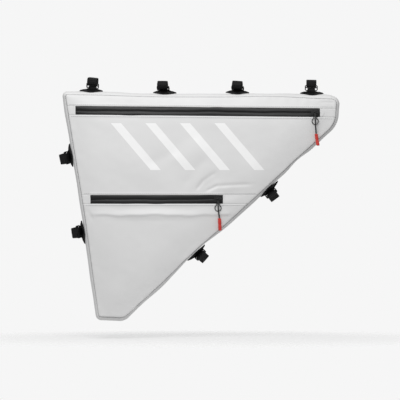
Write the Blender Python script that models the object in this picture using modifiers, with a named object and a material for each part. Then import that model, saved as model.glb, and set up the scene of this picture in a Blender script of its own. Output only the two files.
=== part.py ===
"""Full-frame bicycle bag: sewn laminate shell, two zips with corded pulls, eight buckled strap loops.

The bag hangs upright as in use: +X points to the front wheel, -Y to the viewer's side, +Z up.
The origin is on the gusset's outer face at the middle of the top side, where the top tube lies.
"""

import math

import bmesh
import bpy
import numpy as np
from mathutils import Matrix, Vector

for old in list(bpy.data.objects):
    bpy.data.objects.remove(old, do_unlink=True)

# Seam line between panel and gusset, seen from the front
TOP_LENGTH = 0.5042
TOP_FALL = 0.0086
SEAT_HEIGHT = 0.4123
SEAT_LEAN = 0.0627
FOOT_LENGTH = 0.0462
FOOT_FALL = 0.0019
NOSE_HEIGHT = 0.0460
NOSE_LEAN = 0.0037
TOP_LEFT_RADIUS = 0.0025
TOP_RIGHT_RADIUS = 0.0090
NOSE_RADIUS = 0.0420
FOOT_RIGHT_RADIUS = 0.0180
FOOT_LEFT_RADIUS = 0.0040

# Cloth shell
WALL = 0.0016
GAP = 0.0003
GUSSET_DEPTH = 0.0500
CROWN = 0.0071
FRONT_PUFF = 0.0070
BACK_PUFF = 0.0050
ROLL = 0.0550
DENT_REACH = 0.0700
FRONT_GRID = 0.0180
BACK_GRID = 0.0360
STATION_STEP = 0.0200
ARC_STEP_DEG = 16.0

# Zips: the slot in the panel, the tape behind it and the slider on it
SLOT_HEIGHT = 0.0160
TAPE_HEM = 0.0050
TAPE_THICKNESS = 0.0010
TAPE_GAP = 0.0006
MAIN_ZIP_DROP = 0.0345
MAIN_ZIP_FALL = 0.0049
MAIN_ZIP_LEFT_MARGIN = 0.0143
MAIN_ZIP_RIGHT_MARGIN = 0.0297
POCKET_ZIP_DROP = 0.1974
POCKET_ZIP_LEFT_MARGIN = 0.0173
POCKET_ZIP_RIGHT_MARGIN = 0.0555
SLIDER_LENGTH = 0.0150
SLIDER_HEIGHT = 0.0104
SLIDER_NOSE = 0.0048
SLIDER_SHOULDER = 0.0015
SLIDER_CHAMFER = 0.0012
SLIDER_THICKNESS = 0.0024
BAIL_POST = 0.0014
BAIL_WIDTH = 0.0016
BAIL_SPAN = 0.0046
BAIL_WINDOW = 0.0023
BAIL_BAR = 0.0013
SLIDER_END_PLAY = 0.0015

# Zip pulls: wire ring with a neck, cord, sleeve grip
WIRE = 0.0015
NECK_RADIUS = 0.0028
RING_RADIUS = 0.0059
RING_DROP = 0.0160
CORD_DIAMETER = 0.0026
GRIP_DIAMETER = 0.0062
MAIN_GRIP_LENGTH = 0.0220
MAIN_GRIP_SHIFT = 0.0035
POCKET_GRIP_LENGTH = 0.0232
POCKET_GRIP_SHIFT = 0.0012
LAY = 0.0005

# Strap mounts: sewn tab, ladder buckle, webbing loop
TAB_LENGTH = 0.0430
TAB_SHOULDER = 0.0190
TAB_NECK = 0.0146
TAB_TIP = 0.0030
TAB_THICKNESS = 0.0012
TAB_SHOULDER_RISE = 0.0030
TAB_SHOULDER_TURN = 0.2
TAB_RISE = 0.0058
BUCKLE_WIDTH = 0.0240
BUCKLE_BAR = 0.0016
BUCKLE_SIDE = 0.0018
BUCKLE_THICKNESS = 0.0026
BUCKLE_CORNER = 0.0026
SLOT_CORNER = 0.0006
NECK_SLOT = 0.0034
WEB_SLOT = 0.0024
WEBBING_WIDTH = 0.0186
WEBBING_THICKNESS = 0.0016
LOOP_HEIGHT = 0.0136
LOOP_DEPTH = 0.0130
LOOP_CORNER = 0.0044

# Colours
LAMINATE = (0.64, 0.65, 0.65)
BLACK_CLOTH = (0.012, 0.012, 0.013)
BLACK_PLASTIC = (0.010, 0.010, 0.011)
RED_SLEEVE = (0.60, 0.035, 0.025)

SIDES = ("top", "nose", "down", "foot", "seat")

# How far the gusset bellies out on each side, as a share of CROWN
BELLY = {"top": 1.00, "nose": 1.00, "down": 0.75, "foot": 1.00, "seat": 0.90}

# Dents of the edge. Columns: side, middle and half width as shares of the side,
# seam moved in and gusset crown flattened as shares of CROWN
DENTS = (
    ("top", 0.33, 0.24, 0.20, 0.00),
    ("top", 0.76, 0.22, -0.42, 0.08),
    ("top", 0.94, 0.12, 0.00, -0.30),
    ("down", 0.18, 0.07, 0.10, 0.30),
    ("down", 0.66, 0.17, 0.35, 0.40),
    ("seat", 0.50, 0.45, 0.26, 0.00),
)

# Gusset across its depth. Columns: share of the half depth, share of the crown
GUSSET_SECTION = (
    (-1.00, 0.00),
    (-0.80, 0.60),
    (-0.40, 1.00),
    (0.40, 1.00),
    (0.80, 0.60),
    (1.00, 0.00),
)

# Soft folds of the front. Columns: x and z of the middle as shares of TOP_LENGTH and SEAT_HEIGHT,
# slope in degrees, half length and half width as shares of TOP_LENGTH, height as a share of FRONT_PUFF
FOLDS = (
    (-0.165, -0.548, 0.0, 0.270, 0.024, 0.28),
    (0.110, -0.455, 8.0, 0.080, 0.030, -0.30),
    (0.030, -0.400, 38.0, 0.070, 0.034, -0.22),
    (-0.040, -0.270, 30.0, 0.100, 0.060, 0.18),
    (0.415, -0.048, 0.0, 0.045, 0.024, -0.15),
)

# Strap mounts. Columns: name, side, share along it, turn on the tab, lean along the side and tilt to the
# front in degrees, slide along the buckle's bar
MOUNTS = (
    ("top_1", "top", 0.0935, -14.0, 5.0, 14.0, 0.0026),
    ("top_2", "top", 0.3657, -10.0, 0.0, 46.0, -0.0026),
    ("top_3", "top", 0.634, -10.0, 3.0, 48.0, 0.0008),
    ("top_4", "top", 0.909, 0.0, 0.0, 8.0, -0.0012),
    ("down_1", "down", 0.321, 0.0, 6.0, 42.0, 0.0028),
    ("down_2", "down", 0.661, 0.0, -6.0, 44.0, -0.0028),
    ("seat_1", "seat", 0.730, -8.0, -3.0, 46.0, -0.0028),
    ("seat_2", "seat", 0.382, -8.0, 0.0, 50.0, 0.0028),
)

# Places along the tab where its skin has points, as shares of the half length
TAB_ACROSS = (-1.00, -0.74, -0.40, 0.00, 0.40, 0.74, 1.00)

# Routes of the pull cords. Columns: sideways, below the bail's bar, in front of the panel
MAIN_CORD_ROUTE = (
    (0.0000, 0.0000, 0.0036),
    (0.0001, 0.0120, 0.0046),
    (0.0004, 0.0215, 0.0056),
    (0.0012, 0.0310, 0.0048),
    (0.0019, 0.0380, 0.0038),
)
POCKET_CORD_ROUTE = (
    (0.0000, 0.0000, 0.0036),
    (0.0002, 0.0110, 0.0042),
    (0.0008, 0.0210, 0.0050),
    (0.0018, 0.0280, 0.0044),
    (0.0026, 0.0335, 0.0038),
)

bag = bpy.data.collections.new("bicycle_frame_bag")
bpy.context.scene.collection.children.link(bag)


def material(name, colour, roughness, metallic=0.0):
    """Principled material of one colour."""
    made = bpy.data.materials.new(name)
    made.use_nodes = True
    shader = made.node_tree.nodes["Principled BSDF"]
    shader.inputs["Base Color"].default_value = (*colour, 1.0)
    shader.inputs["Roughness"].default_value = roughness
    shader.inputs["Metallic"].default_value = metallic
    return made


def add(name, data, colour, roughness, placed=None):
    """Object of the bag's collection with a material of its own."""
    made = bpy.data.objects.new(name, data)
    data.materials.append(material(name, colour, roughness))
    bag.objects.link(made)
    if placed is not None:
        made.matrix_world = placed
    return made


def unit(vector):
    return vector / np.linalg.norm(vector)


def seam_corners():
    """Sharp corners of the seam line as x, z, clockwise from the upper left."""
    top_left = np.array([-TOP_LENGTH / 2, TOP_FALL / 2 - CROWN])
    top_right = np.array([TOP_LENGTH / 2, -TOP_FALL / 2 - CROWN])
    nose_low = top_right - [NOSE_LEAN, NOSE_HEIGHT]
    foot_left = top_left + [SEAT_LEAN, -SEAT_HEIGHT]
    foot_right = foot_left + [FOOT_LENGTH, -FOOT_FALL]
    return [top_left, top_right, nose_low, foot_right, foot_left]


CORNERS = seam_corners()
RADII = [TOP_LEFT_RADIUS, TOP_RIGHT_RADIUS, NOSE_RADIUS, FOOT_RIGHT_RADIUS, FOOT_LEFT_RADIUS]


def side_frame(index):
    """Start, direction, outward normal and length of one side."""
    start = CORNERS[index]
    run = CORNERS[(index + 1) % len(CORNERS)] - start
    direction = unit(run)
    return start, direction, np.array([-direction[1], direction[0]]), np.linalg.norm(run)


FRAMES = [side_frame(index) for index in range(len(CORNERS))]


def bump(distance):
    """Raised cosine: 1 at the middle, 0 from a distance of 1 on."""
    return np.where(np.abs(distance) < 1.0, 0.5 + 0.5 * np.cos(np.pi * np.clip(distance, -1, 1)), 0.0)


def seam_dent(side, share):
    """How far the seam line is drawn in at a share of a side."""
    rows = [row for row in DENTS if row[0] == side]
    return CROWN * sum((row[3] * bump((share - row[1]) / row[2]) for row in rows), 0.0 * share)


def crown(side, share):
    """How far the gusset bellies out past the seam line at a share of a side."""
    rows = [row for row in DENTS if row[0] == side]
    flat = sum((row[4] * bump((share - row[1]) / row[2]) for row in rows), 0.0 * share)
    return CROWN * (BELLY[side] - flat)


def turn_at(index):
    """Angle the seam line turns through at a corner."""
    before = FRAMES[index - 1][1]
    after = FRAMES[index][1]
    return math.acos(float(np.clip(before @ after, -1.0, 1.0)))


def stations():
    """Seam line as rows of point, outward normal and crown, with straight runs and corner arcs."""
    rows = []
    for index, side in enumerate(SIDES):
        start, direction, normal, length = FRAMES[index]
        following = (index + 1) % len(SIDES)
        turn = turn_at(following)
        radius = RADII[following]
        first = RADII[index] * math.tan(turn_at(index) / 2)
        last = length - radius * math.tan(turn / 2)
        count = max(1, round((last - first) / STATION_STEP))
        for along in np.linspace(first, last, count + 1):
            share = along / length
            point = start + direction * along - normal * seam_dent(side, share)
            rows.append((point, normal, float(crown(side, share))))
        centre = start + direction * last - normal * radius
        steps = max(2, math.ceil(math.degrees(turn) / ARC_STEP_DEG))
        crowns = (float(crown(side, 1.0)), float(crown(SIDES[following], 0.0)))
        for step in range(1, steps):
            angle = turn * step / steps
            turned = math.cos(angle) * normal + math.sin(angle) * direction
            share = step / steps
            rows.append((centre + radius * turned, turned, crowns[0] * (1 - share) + crowns[1] * share))
    return rows


def side_x(side, z):
    """x of a side's straight line at a height."""
    start, direction, _, _ = FRAMES[SIDES.index(side)]
    return start[0] + direction[0] / direction[1] * (z - start[1])


def inside(x, z, index):
    """Distance of points inside the line of one side, and their share along it."""
    start, direction, normal, length = FRAMES[index]
    return (
        -((x - start[0]) * normal[0] + (z - start[1]) * normal[1]),
        ((x - start[0]) * direction[0] + (z - start[1]) * direction[1]) / length,
    )


def drawn_in(x, z):
    """Points of a flat panel moved with the dents of its edge, fading out within DENT_REACH."""
    moved_x, moved_z = x.copy(), z.copy()
    for index, side in enumerate(SIDES):
        depth, share = inside(x, z, index)
        fade = np.clip(1 - depth / DENT_REACH, 0, 1) ** 2
        shift = seam_dent(side, share) * fade
        moved_x -= shift * FRAMES[index][2][0]
        moved_z -= shift * FRAMES[index][2][1]
    return moved_x, moved_z


def dome(x, z):
    """1 in the middle of a panel, falling to 0 at the seam over ROLL."""
    value = 1.0
    for index in range(len(SIDES)):
        near = np.clip(inside(x, z, index)[0] / ROLL, 0, 1)
        value = value * (1 - (1 - near) ** 2)
    return value


def folds(x, z):
    """Sum of the soft folds, as a share of FRONT_PUFF."""
    total = 0.0 * x
    for middle_x, middle_z, slope, half_length, half_width, height in FOLDS:
        angle = math.radians(slope)
        off_x = x - middle_x * TOP_LENGTH
        off_z = z - middle_z * SEAT_HEIGHT
        along = (off_x * math.cos(angle) + off_z * math.sin(angle)) / (half_length * TOP_LENGTH)
        across = (off_z * math.cos(angle) - off_x * math.sin(angle)) / (half_width * TOP_LENGTH)
        total = total + height * bump(along) * bump(across)
    return total


def front_y(x, z):
    """Outer face of the front."""
    x, z = np.asarray(x, float), np.asarray(z, float)
    return -(GUSSET_DEPTH / 2 + FRONT_PUFF * (dome(x, z) + folds(x, z) * dome(x, z)))


def back_y(x, z):
    """Outer face of the back."""
    return GUSSET_DEPTH / 2 + BACK_PUFF * dome(np.asarray(x, float), np.asarray(z, float))


def main_zip_z(x):
    """Height of the main zip's middle line."""
    return -MAIN_ZIP_DROP - MAIN_ZIP_FALL * x / TOP_LENGTH


def pocket_zip_z(x):
    """Height of the pocket zip's middle line."""
    return -POCKET_ZIP_DROP + 0.0 * x


MAIN_ZIP_START = side_x("seat", -MAIN_ZIP_DROP) + MAIN_ZIP_LEFT_MARGIN
MAIN_ZIP_END = side_x("nose", -MAIN_ZIP_DROP) - MAIN_ZIP_RIGHT_MARGIN
POCKET_ZIP_START = side_x("seat", -POCKET_ZIP_DROP) + POCKET_ZIP_LEFT_MARGIN
POCKET_ZIP_END = side_x("down", -POCKET_ZIP_DROP) - POCKET_ZIP_RIGHT_MARGIN


def above(line, offset):
    """Cut that keeps what lies above a zip's line by more than offset. A cut is a point and an outward normal."""
    left, right = -TOP_LENGTH / 2, TOP_LENGTH / 2
    run = unit(np.array([right - left, line(right) - line(left)]))
    return np.array([left, line(left) + offset]), np.array([run[1], -run[0]])


def below(line, offset):
    """Cut that keeps what lies under a zip's line plus offset."""
    point, normal = above(line, offset)
    return point, -normal


def left_of(x):
    return np.array([x, 0.0]), np.array([1.0, 0.0])


def right_of(x):
    return np.array([x, 0.0]), np.array([-1.0, 0.0])


def seam_cuts():
    """Cuts along the straight sides and along the chords of the corner arcs."""
    cuts = []
    for index in range(len(SIDES)):
        start, direction, normal, length = FRAMES[index]
        cuts.append((start, normal))
        turn, radius = turn_at((index + 1) % len(SIDES)), RADII[(index + 1) % len(SIDES)]
        last = length - radius * math.tan(turn / 2)
        centre = start + direction * last - normal * radius
        steps = max(2, math.ceil(math.degrees(turn) / ARC_STEP_DEG))
        for step in range(steps):
            angle = turn * (step + 0.5) / steps
            turned = math.cos(angle) * normal + math.sin(angle) * direction
            cuts.append((centre + radius * math.cos(turn / steps / 2) * turned, turned))
    return cuts


def cloth_sheet(name, cuts, surface, grid, facing, thickness):
    """Flat sheet cut to shape, gridded, laid on a surface and thickened inwards."""
    low_x, high_x = -TOP_LENGTH / 2 - CROWN, TOP_LENGTH / 2 + CROWN
    low_z, high_z = -SEAT_HEIGHT - 2 * CROWN, CROWN
    sheet = bmesh.new()
    bmesh.ops.create_grid(sheet, x_segments=1, y_segments=1, size=0.5)
    for vert in sheet.verts:
        x = low_x + (vert.co.x + 0.5) * (high_x - low_x)
        z = low_z + (vert.co.y + 0.5) * (high_z - low_z)
        vert.co = (x, 0.0, z)
    planes = [((point[0], 0, point[1]), (normal[0], 0, normal[1]), True) for point, normal in cuts]
    for x in np.arange(low_x, high_x, grid)[1:]:
        planes.append(((x, 0, 0), (1, 0, 0), False))
    for z in np.arange(low_z, high_z, grid)[1:]:
        planes.append(((0, 0, z), (0, 0, 1), False))
    for point, normal, clear in planes:
        everything = sheet.verts[:] + sheet.edges[:] + sheet.faces[:]
        bmesh.ops.bisect_plane(
            sheet, geom=everything, dist=1e-5, plane_co=point, plane_no=normal, clear_outer=clear
        )
    bmesh.ops.remove_doubles(sheet, verts=sheet.verts, dist=2e-4)
    flat = np.array([vert.co[:] for vert in sheet.verts])
    x, z = drawn_in(flat[:, 0], flat[:, 2])
    for vert, place in zip(sheet.verts, np.stack([x, surface(flat[:, 0], flat[:, 2]), z], 1)):
        vert.co = place
    bmesh.ops.recalc_face_normals(sheet, faces=sheet.faces)
    sheet.faces.ensure_lookup_table()
    if sum(face.normal.y * face.calc_area() for face in sheet.faces) * facing < 0:
        bmesh.ops.reverse_faces(sheet, faces=sheet.faces)
    data = bpy.data.meshes.new(name)
    sheet.to_mesh(data)
    sheet.free()
    data.shade_smooth()
    made = add(name, data, LAMINATE, 0.45)
    solid = made.modifiers.new("cloth", "SOLIDIFY")
    solid.thickness = thickness
    solid.offset = -1.0
    return made


def loft(name, sections, closed, colour, roughness, thickness):
    """Open skin through sections of equal point count, thickened inwards."""
    skin = bmesh.new()
    rows = [[skin.verts.new(point) for point in section] for section in sections]
    pairs = list(zip(rows, rows[1:] + rows[:1])) if closed else list(zip(rows, rows[1:]))
    for row, following in pairs:
        for k in range(len(row) - 1):
            skin.faces.new((row[k], row[k + 1], following[k + 1], following[k]))
    data = bpy.data.meshes.new(name)
    skin.to_mesh(data)
    skin.free()
    made = add(name, data, colour, roughness)
    solid = made.modifiers.new("cloth", "SOLIDIFY")
    solid.thickness = thickness
    solid.offset = -1.0
    return made


def make_panels():
    """Front of seven cut pieces round the two zips, and a plain back."""
    half_slot = SLOT_HEIGHT / 2
    half_gap = GAP / 2
    edge = seam_cuts()
    pieces = {
        "top_strip": [above(main_zip_z, half_slot + half_gap)],
        "main_zip_end_left": [
            below(main_zip_z, half_slot - half_gap),
            above(main_zip_z, half_gap - half_slot),
            left_of(MAIN_ZIP_START),
        ],
        "main_zip_end_right": [
            below(main_zip_z, half_slot - half_gap),
            above(main_zip_z, half_gap - half_slot),
            right_of(MAIN_ZIP_END),
        ],
        "front_panel": [
            below(main_zip_z, -half_slot - half_gap),
            above(pocket_zip_z, half_slot + half_gap),
        ],
        "pocket_zip_end_left": [
            below(pocket_zip_z, half_slot - half_gap),
            above(pocket_zip_z, half_gap - half_slot),
            left_of(POCKET_ZIP_START),
        ],
        "pocket_zip_end_right": [
            below(pocket_zip_z, half_slot - half_gap),
            above(pocket_zip_z, half_gap - half_slot),
            right_of(POCKET_ZIP_END),
        ],
        "pocket_panel": [below(pocket_zip_z, -half_slot - half_gap)],
    }
    for name, cuts in pieces.items():
        cloth_sheet(name, edge + cuts, front_y, FRONT_GRID, -1, WALL)
    cloth_sheet("back_panel", edge, back_y, BACK_GRID, 1, WALL)


def make_gusset():
    """Band of cloth round the edge, bellied between the seams."""
    half_depth = GUSSET_DEPTH / 2 - WALL - GAP
    sections = []
    for point, normal, belly in stations():
        section = []
        for depth_share, crown_share in GUSSET_SECTION:
            out = point + normal * belly * crown_share
            section.append((out[0], -half_depth * depth_share, out[1]))
        sections.append(section)
    loft("gusset", sections, True, LAMINATE, 0.45, WALL)


def make_tape(name, line, start, end):
    """Zip tape with its closed teeth, lying behind the slot and hemmed under the cloth round it."""
    cuts = [
        below(line, SLOT_HEIGHT / 2 + TAPE_HEM),
        above(line, -SLOT_HEIGHT / 2 - TAPE_HEM),
        right_of(start - TAPE_HEM),
        left_of(end + TAPE_HEM),
    ]

    def behind(x, z):
        return front_y(x, z) + WALL + TAPE_GAP

    made = cloth_sheet(name, cuts, behind, FRONT_GRID, -1, TAPE_THICKNESS)
    shader = made.data.materials[0].node_tree.nodes["Principled BSDF"]
    shader.inputs["Base Color"].default_value = (*BLACK_CLOTH, 1.0)


def outline_mesh(name, loops, half_thickness):
    """Closed mesh of a flat outline, holes included, extruded both ways."""
    curve = bpy.data.curves.new(name, "CURVE")
    curve.dimensions = "2D"
    curve.fill_mode = "BOTH"
    curve.extrude = half_thickness
    for points in loops:
        spline = curve.splines.new("POLY")
        spline.points.add(len(points) - 1)
        for place, point in zip(spline.points, points):
            place.co = (*point, 0.0, 1.0)
        spline.use_cyclic_u = True
    drawn = bpy.data.objects.new(name, curve)
    bag.objects.link(drawn)
    bpy.context.view_layer.update()
    data = bpy.data.meshes.new_from_object(drawn.evaluated_get(bpy.context.evaluated_depsgraph_get()))
    bpy.data.objects.remove(drawn, do_unlink=True)
    bpy.data.curves.remove(curve)
    welded = bmesh.new()
    welded.from_mesh(data)
    bmesh.ops.remove_doubles(welded, verts=welded.verts, dist=1e-6)
    bmesh.ops.recalc_face_normals(welded, faces=welded.faces)
    welded.to_mesh(data)
    welded.free()
    return data


def rounded_box(low_x, high_x, low_y, high_y, radius, steps=3):
    """Rectangle with round corners, counter-clockwise."""
    points = []
    corners = (
        (high_x - radius, high_y - radius),
        (low_x + radius, high_y - radius),
        (low_x + radius, low_y + radius),
        (high_x - radius, low_y + radius),
    )
    for quarter, (x, y) in enumerate(corners):
        for step in range(steps + 1):
            angle = math.pi / 2 * (quarter + step / steps)
            points.append((x + radius * math.cos(angle), y + radius * math.sin(angle)))
    return points


def zip_place(line, hang_x):
    """Height of a slider and the y of the foremost point of the tape under it."""
    hang_z = float(line(hang_x))
    under_x = hang_x + SLIDER_LENGTH / 2 * np.array([-1, -1, 0, 1, 1])
    under_z = hang_z + SLIDER_HEIGHT / 2 * np.array([-1, 1, 0, -1, 1])
    return hang_z, float(np.min(front_y(under_x, under_z))) + WALL + TAPE_GAP - GAP


def make_slider(name, line, hang_x):
    """Slider body on the tape with a bail of two posts and a bar in front."""
    hang_z, tape_y = zip_place(line, hang_x)
    back = SLIDER_LENGTH / 2
    half = SLIDER_HEIGHT / 2
    shape = [
        (-back, SLIDER_CHAMFER - half),
        (SLIDER_CHAMFER - back, -half),
        (SLIDER_SHOULDER, -half),
        (back, -SLIDER_NOSE / 2),
        (back, SLIDER_NOSE / 2),
        (SLIDER_SHOULDER, half),
        (SLIDER_CHAMFER - back, half),
        (-back, half - SLIDER_CHAMFER),
    ]
    upright = Matrix.Rotation(math.pi / 2, 4, "X")
    body_y = tape_y - GAP - SLIDER_THICKNESS / 2
    made = add(
        name,
        outline_mesh(name, [shape], SLIDER_THICKNESS / 2),
        BLACK_PLASTIC,
        0.35,
        Matrix.Translation((hang_x, body_y, hang_z)) @ upright,
    )
    front = SLIDER_THICKNESS / 2
    root = front / 2
    low, high = -BAIL_POST / 2, BAIL_SPAN + BAIL_POST / 2
    window = front + BAIL_WINDOW
    arch = [
        (low, root),
        (low + BAIL_POST, root),
        (low + BAIL_POST, window),
        (high - BAIL_POST, window),
        (high - BAIL_POST, root),
        (high, root),
        (high, window + BAIL_BAR),
        (low, window + BAIL_BAR),
    ]
    bail = bpy.data.objects.new(name + "_bail", outline_mesh(name + "_bail", [arch], BAIL_WIDTH / 2))
    cutters.objects.link(bail)
    bail.hide_render = True
    bail.display_type = "WIRE"
    bail.matrix_world = Matrix.Translation((hang_x, body_y, hang_z)) @ Matrix.Rotation(math.pi, 4, "X")
    joined = made.modifiers.new("bail", "BOOLEAN")
    joined.operation = "UNION"
    joined.object = bail


def tube(name, points, diameter, colour, roughness, cyclic=False, sides=2):
    """Round wire, cord or sleeve along a polyline."""
    curve = bpy.data.curves.new(name, "CURVE")
    curve.dimensions = "3D"
    curve.bevel_depth = diameter / 2
    curve.bevel_resolution = sides
    curve.use_fill_caps = not cyclic
    spline = curve.splines.new("POLY")
    spline.points.add(len(points) - 1)
    for place, point in zip(spline.points, points):
        place.co = (*point, 1.0)
    spline.use_cyclic_u = cyclic
    return add(name, curve, colour, roughness)


def smooth_route(points, spacing):
    """Points every spacing along a smooth curve through the route's own points."""
    points = np.array(points, float)
    ends = np.vstack([2 * points[0] - points[1], points, 2 * points[-1] - points[-2]])
    dense = []
    for k in range(1, len(ends) - 2):
        p0, p1, p2, p3 = ends[k - 1 : k + 3]
        for t in np.linspace(0, 1, 24, endpoint=False):
            dense.append(
                0.5
                * (
                    2 * p1
                    + (p2 - p0) * t
                    + (2 * p0 - 5 * p1 + 4 * p2 - p3) * t**2
                    + (3 * p1 - p0 - 3 * p2 + p3) * t**3
                )
            )
    dense = np.vstack([dense, points[-1]])
    walked = np.concatenate([[0], np.cumsum(np.linalg.norm(np.diff(dense, axis=0), axis=1))])
    wanted = np.linspace(0, walked[-1], max(3, round(walked[-1] / spacing)) + 1)
    return np.stack([np.interp(wanted, walked, dense[:, axis]) for axis in range(3)], 1)


def make_pull(prefix, line, hang_x, route, grip_length, grip_shift):
    """Wire ring hung on the bail's first post, cord in front of it and the sleeve grip at its end."""
    hang_z, tape_y = zip_place(line, hang_x)
    wire_y = tape_y - GAP - SLIDER_THICKNESS - BAIL_WINDOW / 2
    neck_z = hang_z + BAIL_WIDTH / 2 + GAP - (NECK_RADIUS - WIRE / 2)
    ring_z = hang_z - RING_DROP
    flare = math.acos(NECK_RADIUS / RING_RADIUS)
    flat = []
    for step in range(9):
        angle = math.pi * step / 8
        flat.append((NECK_RADIUS * math.cos(angle), neck_z + NECK_RADIUS * math.sin(angle)))
    for step in range(17):
        angle = math.pi - flare + (math.pi + 2 * flare) * step / 16
        flat.append((RING_RADIUS * math.cos(angle), ring_z + RING_RADIUS * math.sin(angle)))
    over_cloth = [(x, z) for x, z in flat if z < hang_z - SLOT_HEIGHT / 2]
    tilt = max(
        (float(front_y(hang_x + x, z)) - LAY - WIRE / 2 - wire_y) / (z - hang_z) for x, z in over_cloth
    )
    wire = [(hang_x + x, wire_y + tilt * (z - hang_z), z) for x, z in flat]
    tube(prefix + "_pull_ring", wire, WIRE, BLACK_PLASTIC, 0.3, cyclic=True)

    start_z = hang_z - BAIL_WIDTH / 2 - GAP
    points = []
    for sideways, below_bar, ahead in route:
        x, z = hang_x + sideways, start_z - below_bar
        points.append((x, float(front_y(x, z)) - ahead, z))
    placed = smooth_route(points, CORD_DIAMETER * 2)
    tube(prefix + "_pull_cord", placed, CORD_DIAMETER, BLACK_CLOTH, 0.8)

    end = placed[-1]
    grip = []
    for share in np.linspace(0, 1, 6):
        x = end[0] + grip_shift * share
        z = end[2] - GAP - grip_length * share
        grip.append((x, float(front_y(x, z)) - LAY - GRIP_DIAMETER / 2, z))
    tube(prefix + "_pull_grip", grip, GRIP_DIAMETER, RED_SLEEVE, 0.55)


def mount_frame(side, share):
    """Frame of a strap mount: along the side, to the back, outward, on the highest point under the tab."""
    index = SIDES.index(side)
    start, direction, normal, length = FRAMES[index]
    half = TAB_LENGTH / 2 / length
    under = np.linspace(share - half, share + half, 9)
    height = float(np.max(crown(side, under) - seam_dent(side, under)))
    place = start + direction * share * length + normal * (height + GAP)
    return Matrix(
        (
            (direction[0], 0.0, normal[0], place[0]),
            (0.0, 1.0, 0.0, 0.0),
            (direction[1], 0.0, normal[1], place[1]),
            (0.0, 0.0, 0.0, 1.0),
        )
    )


def make_tab(name, side, share, frame, turned, slot_low, apex):
    """Cloth sewn flat across the gusset, its foot an arc, gathered into a neck through the buckle's slot."""
    crease_share, crown_share = GUSSET_SECTION[-2]
    half_depth = GUSSET_DEPTH / 2 - WALL - GAP
    crease = GUSSET_SECTION[-3][0] * half_depth
    reach = crease_share * half_depth
    drop = (1 - crown_share) * float(crown(side, share)) / (reach - crease)
    half_bar = BUCKLE_THICKNESS / 2 + GAP + TAB_THICKNESS
    shoulder, brow = half_bar + 2 * TAB_THICKNESS, half_bar - TAB_THICKNESS / 2
    neck = (
        (shoulder, TAB_SHOULDER_RISE, TAB_SHOULDER / 2, TAB_SHOULDER_TURN),
        (half_bar, TAB_RISE, TAB_NECK / 2, 1.0),
        (half_bar, slot_low, TAB_NECK / 2, 1.0),
        (brow, apex - TAB_THICKNESS / 2, TAB_NECK / 2, 1.0),
        (half_bar - TAB_THICKNESS, apex, TAB_NECK / 2, 1.0),
    )
    halves = []
    for facing in (-1, 1):
        foot = []
        for across in TAB_ACROSS:
            depth = TAB_TIP + (reach - TAB_TIP) * (1 - across**2)
            height = TAB_THICKNESS - drop * max(depth - crease, 0)
            foot.append(frame @ Vector((TAB_LENGTH / 2 * across, facing * depth, height)))
        sections = [foot]
        for depth, height, half, following in neck:
            flat = [Vector((half * across, facing * depth, height)) for across in TAB_ACROSS]
            sections.append([frame @ point.lerp(turned @ point, following) for point in flat])
        halves.append(sections)
    loft(name + "_tab", halves[0] + halves[1][::-1], False, BLACK_CLOTH, 0.85, TAB_THICKNESS)


def make_mount(name, side, share, turn, lean, tilt, slide):
    """Sewn tab folded round the buckle's lower bar, ladder buckle, and webbing loop on its upper bar."""
    frame = mount_frame(side, share)
    bar_low = TAB_RISE
    slot_low = bar_low + BUCKLE_BAR
    slot_high = slot_low + NECK_SLOT
    web_low = slot_high + BUCKLE_BAR
    web_high = web_low + WEB_SLOT
    top = web_high + BUCKLE_BAR
    turned = Matrix.Translation((0, 0, bar_low)) @ Matrix.Rotation(math.radians(turn), 4, "Z")
    turned = turned @ Matrix.Rotation(math.radians(lean), 4, "Y") @ Matrix.Rotation(math.radians(tilt), 4, "X")
    turned = turned @ Matrix.Translation((slide, 0, -bar_low))
    make_tab(name, side, share, frame, turned, slot_low, slot_high - GAP)

    half_slot = BUCKLE_WIDTH / 2 - BUCKLE_SIDE
    plate = [
        rounded_box(-BUCKLE_WIDTH / 2, BUCKLE_WIDTH / 2, bar_low, top, BUCKLE_CORNER),
        rounded_box(-half_slot, half_slot, slot_low, slot_high, SLOT_CORNER, 1)[::-1],
        rounded_box(-half_slot, half_slot, web_low, web_high, SLOT_CORNER, 1)[::-1],
    ]
    add(
        name + "_buckle",
        outline_mesh(name + "_buckle", plate, BUCKLE_THICKNESS / 2),
        BLACK_PLASTIC,
        0.35,
        frame @ turned @ Matrix.Rotation(math.pi / 2, 4, "X"),
    )

    low, wall = web_low + GAP, WEBBING_THICKNESS
    high, half_depth = low + LOOP_HEIGHT, LOOP_DEPTH / 2
    outer = rounded_box(-half_depth, half_depth, low, high, LOOP_CORNER, 4)
    inner = rounded_box(
        wall - half_depth, half_depth - wall, low + wall, high - wall, LOOP_CORNER - wall, 4
    )
    across = Matrix(((0, 0, 1, 0), (1, 0, 0, 0), (0, 1, 0, 0), (0, 0, 0, 1)))
    add(
        name + "_strap",
        outline_mesh(name + "_strap", [outer, inner[::-1]], WEBBING_WIDTH / 2),
        BLACK_CLOTH,
        0.8,
        frame @ turned @ across,
    )


cutters = bpy.data.collections.new("cutters")
bpy.context.scene.collection.children.link(cutters)

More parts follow.
